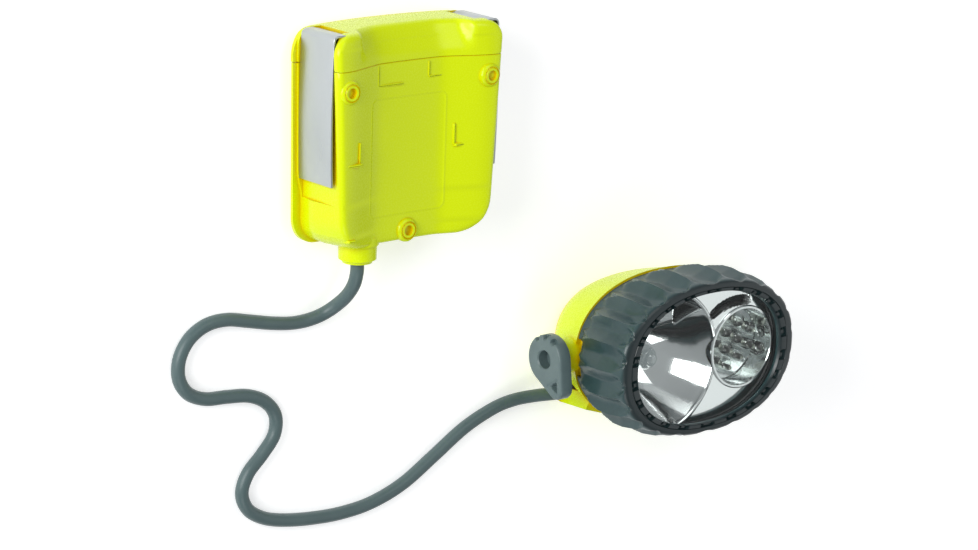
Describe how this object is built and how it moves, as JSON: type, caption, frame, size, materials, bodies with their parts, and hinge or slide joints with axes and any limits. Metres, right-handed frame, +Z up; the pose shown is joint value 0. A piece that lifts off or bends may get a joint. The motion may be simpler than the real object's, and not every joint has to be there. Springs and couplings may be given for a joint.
{
  "type": "miner's cap lamp",
  "caption": "Two-source cap lamp: oval head with a fluted ring, wide bulb reflector and LED cup, corded to a curved battery case with steel strap clips.",
  "frame": {"origin": "on the surface that both housings lie on, below the middle of the box that holds the battery case and the lamp head, the cord left out", "axes": "+X across the battery case and along the head's long axis, +Y towards the case's lid, +Z up, out of the lens and out of the case's hollow back"},
  "size_m": [0.2382, 0.1689, 0.05],
  "materials": {
    "yellow_plastic": "gloss moulded lemon yellow",
    "dark_elastomer": "satin blue-grey elastomer",
    "lever_plastic": "satin blue-grey plastic",
    "clip_steel": "satin stainless strip",
    "pin_steel": "drawn steel",
    "cord_jacket": "satin grey-green jacket",
    "seal_rubber": "matt black",
    "mirror_coat": "vacuum metallised",
    "clear_lens": "clear polycarbonate",
    "bulb_glass": "clear glass",
    "led_epoxy": "clear epoxy",
    "black_plastic": "matt black",
    "contact_brass": "plated brass",
    "board_laminate": "green solder mask",
    "cell_wrap": "plain grey sleeve"
  },
  "bodies": {
    "base": {"front_shell": "yellow_plastic", "case_tub": "yellow_plastic", "end_contacts": "contact_brass", "contact_springs": "pin_steel", "cell_1": "cell_wrap", "cell_2": "cell_wrap", "cell_3": "cell_wrap", "cell_4": "cell_wrap", "case_grommet": "seal_rubber", "cord": "cord_jacket", "head_housing": "yellow_plastic", "housing_seal": "seal_rubber", "reflector": "mirror_coat", "bulb_glass": "bulb_glass", "bulb_base": "pin_steel", "bulb_holder": "black_plastic", "led_cup": "mirror_coat", "led_board": "board_laminate", "leds": "led_epoxy", "contact_strips": "contact_brass", "lever_seal": "seal_rubber", "switch_base": "black_plastic", "switch_contacts": "contact_brass", "pivot_cap": "lever_plastic", "head_grommet": "seal_rubber"},
    "lid": {"case_lid": "yellow_plastic", "lid_seal": "seal_rubber", "contact_carrier": "black_plastic", "lid_contacts": "contact_brass", "clip_pin_left": "pin_steel", "clip_pin_right": "pin_steel"},
    "left_clip": {"clip_left": "clip_steel"},
    "right_clip": {"clip_right": "clip_steel"},
    "front_ring": {"bezel": "dark_elastomer", "lens": "clear_lens", "lens_seal": "seal_rubber"},
    "selector": {"selector_lever": "lever_plastic", "switch_rotor": "black_plastic", "lever_clip": "pin_steel"}
  },
  "joints": [
    {"name": "lid_lift", "type": "slide", "parent": "base", "child": "lid", "axis": [0, 1, 0], "range_m": [0, 0.025]},
    {"name": "left_clip_swing", "type": "hinge", "parent": "lid", "child": "left_clip", "pos_m": [-0.0901, 0.0726, 0.0157], "axis": [0, 0, -1], "range_deg": [0, 90]},
    {"name": "right_clip_swing", "type": "hinge", "parent": "lid", "child": "right_clip", "pos_m": [-0.0349, 0.0726, 0.0157], "axis": [0, 0, 1], "range_deg": [0, 90]},
    {"name": "ring_pull", "type": "slide", "parent": "base", "child": "front_ring", "axis": [0, 0, 1], "range_m": [0, 0.02]},
    {"name": "selector_turn", "type": "hinge", "parent": "base", "child": "selector", "pos_m": [0.0015, -0.0459, 0.02], "axis": [1, 0, 0], "range_deg": [-45, 45]}
  ]
}
